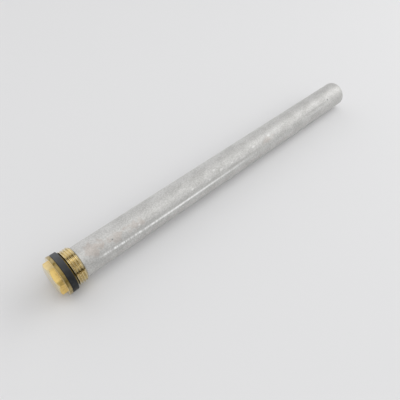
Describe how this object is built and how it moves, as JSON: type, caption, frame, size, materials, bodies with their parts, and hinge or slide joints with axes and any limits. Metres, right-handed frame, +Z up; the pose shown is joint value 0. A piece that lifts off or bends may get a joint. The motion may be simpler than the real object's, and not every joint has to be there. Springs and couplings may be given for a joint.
{
  "type": "water heater anode rod",
  "caption": "Round magnesium anode rod on a brass screw plug with a hexagon head, a round flange and a black rubber sealing washer.",
  "frame": {"origin": "centre of the sealing washer's outer face, on the thread axis: the plane that meets the tank's boss", "axes": "+Z up; the thread axis runs from the hexagon head at low X to the rod's free end at high X, dipping by 0.57 degrees from +X because the part lies on its flange rim and the rod's far edge"},
  "size_m": [0.32, 0.0292, 0.0293],
  "materials": {
    "brass": "turned, bright",
    "rubber": "matte moulded rubber",
    "magnesium": "satin, lightly oxidised",
    "steel": "rolled thread, plain"
  },
  "bodies": {
    "root": {"screw_plug": "brass", "sealing_washer": "rubber", "anode_rod": "magnesium", "fixing_stud": "steel"}
  },
  "joints": []
}
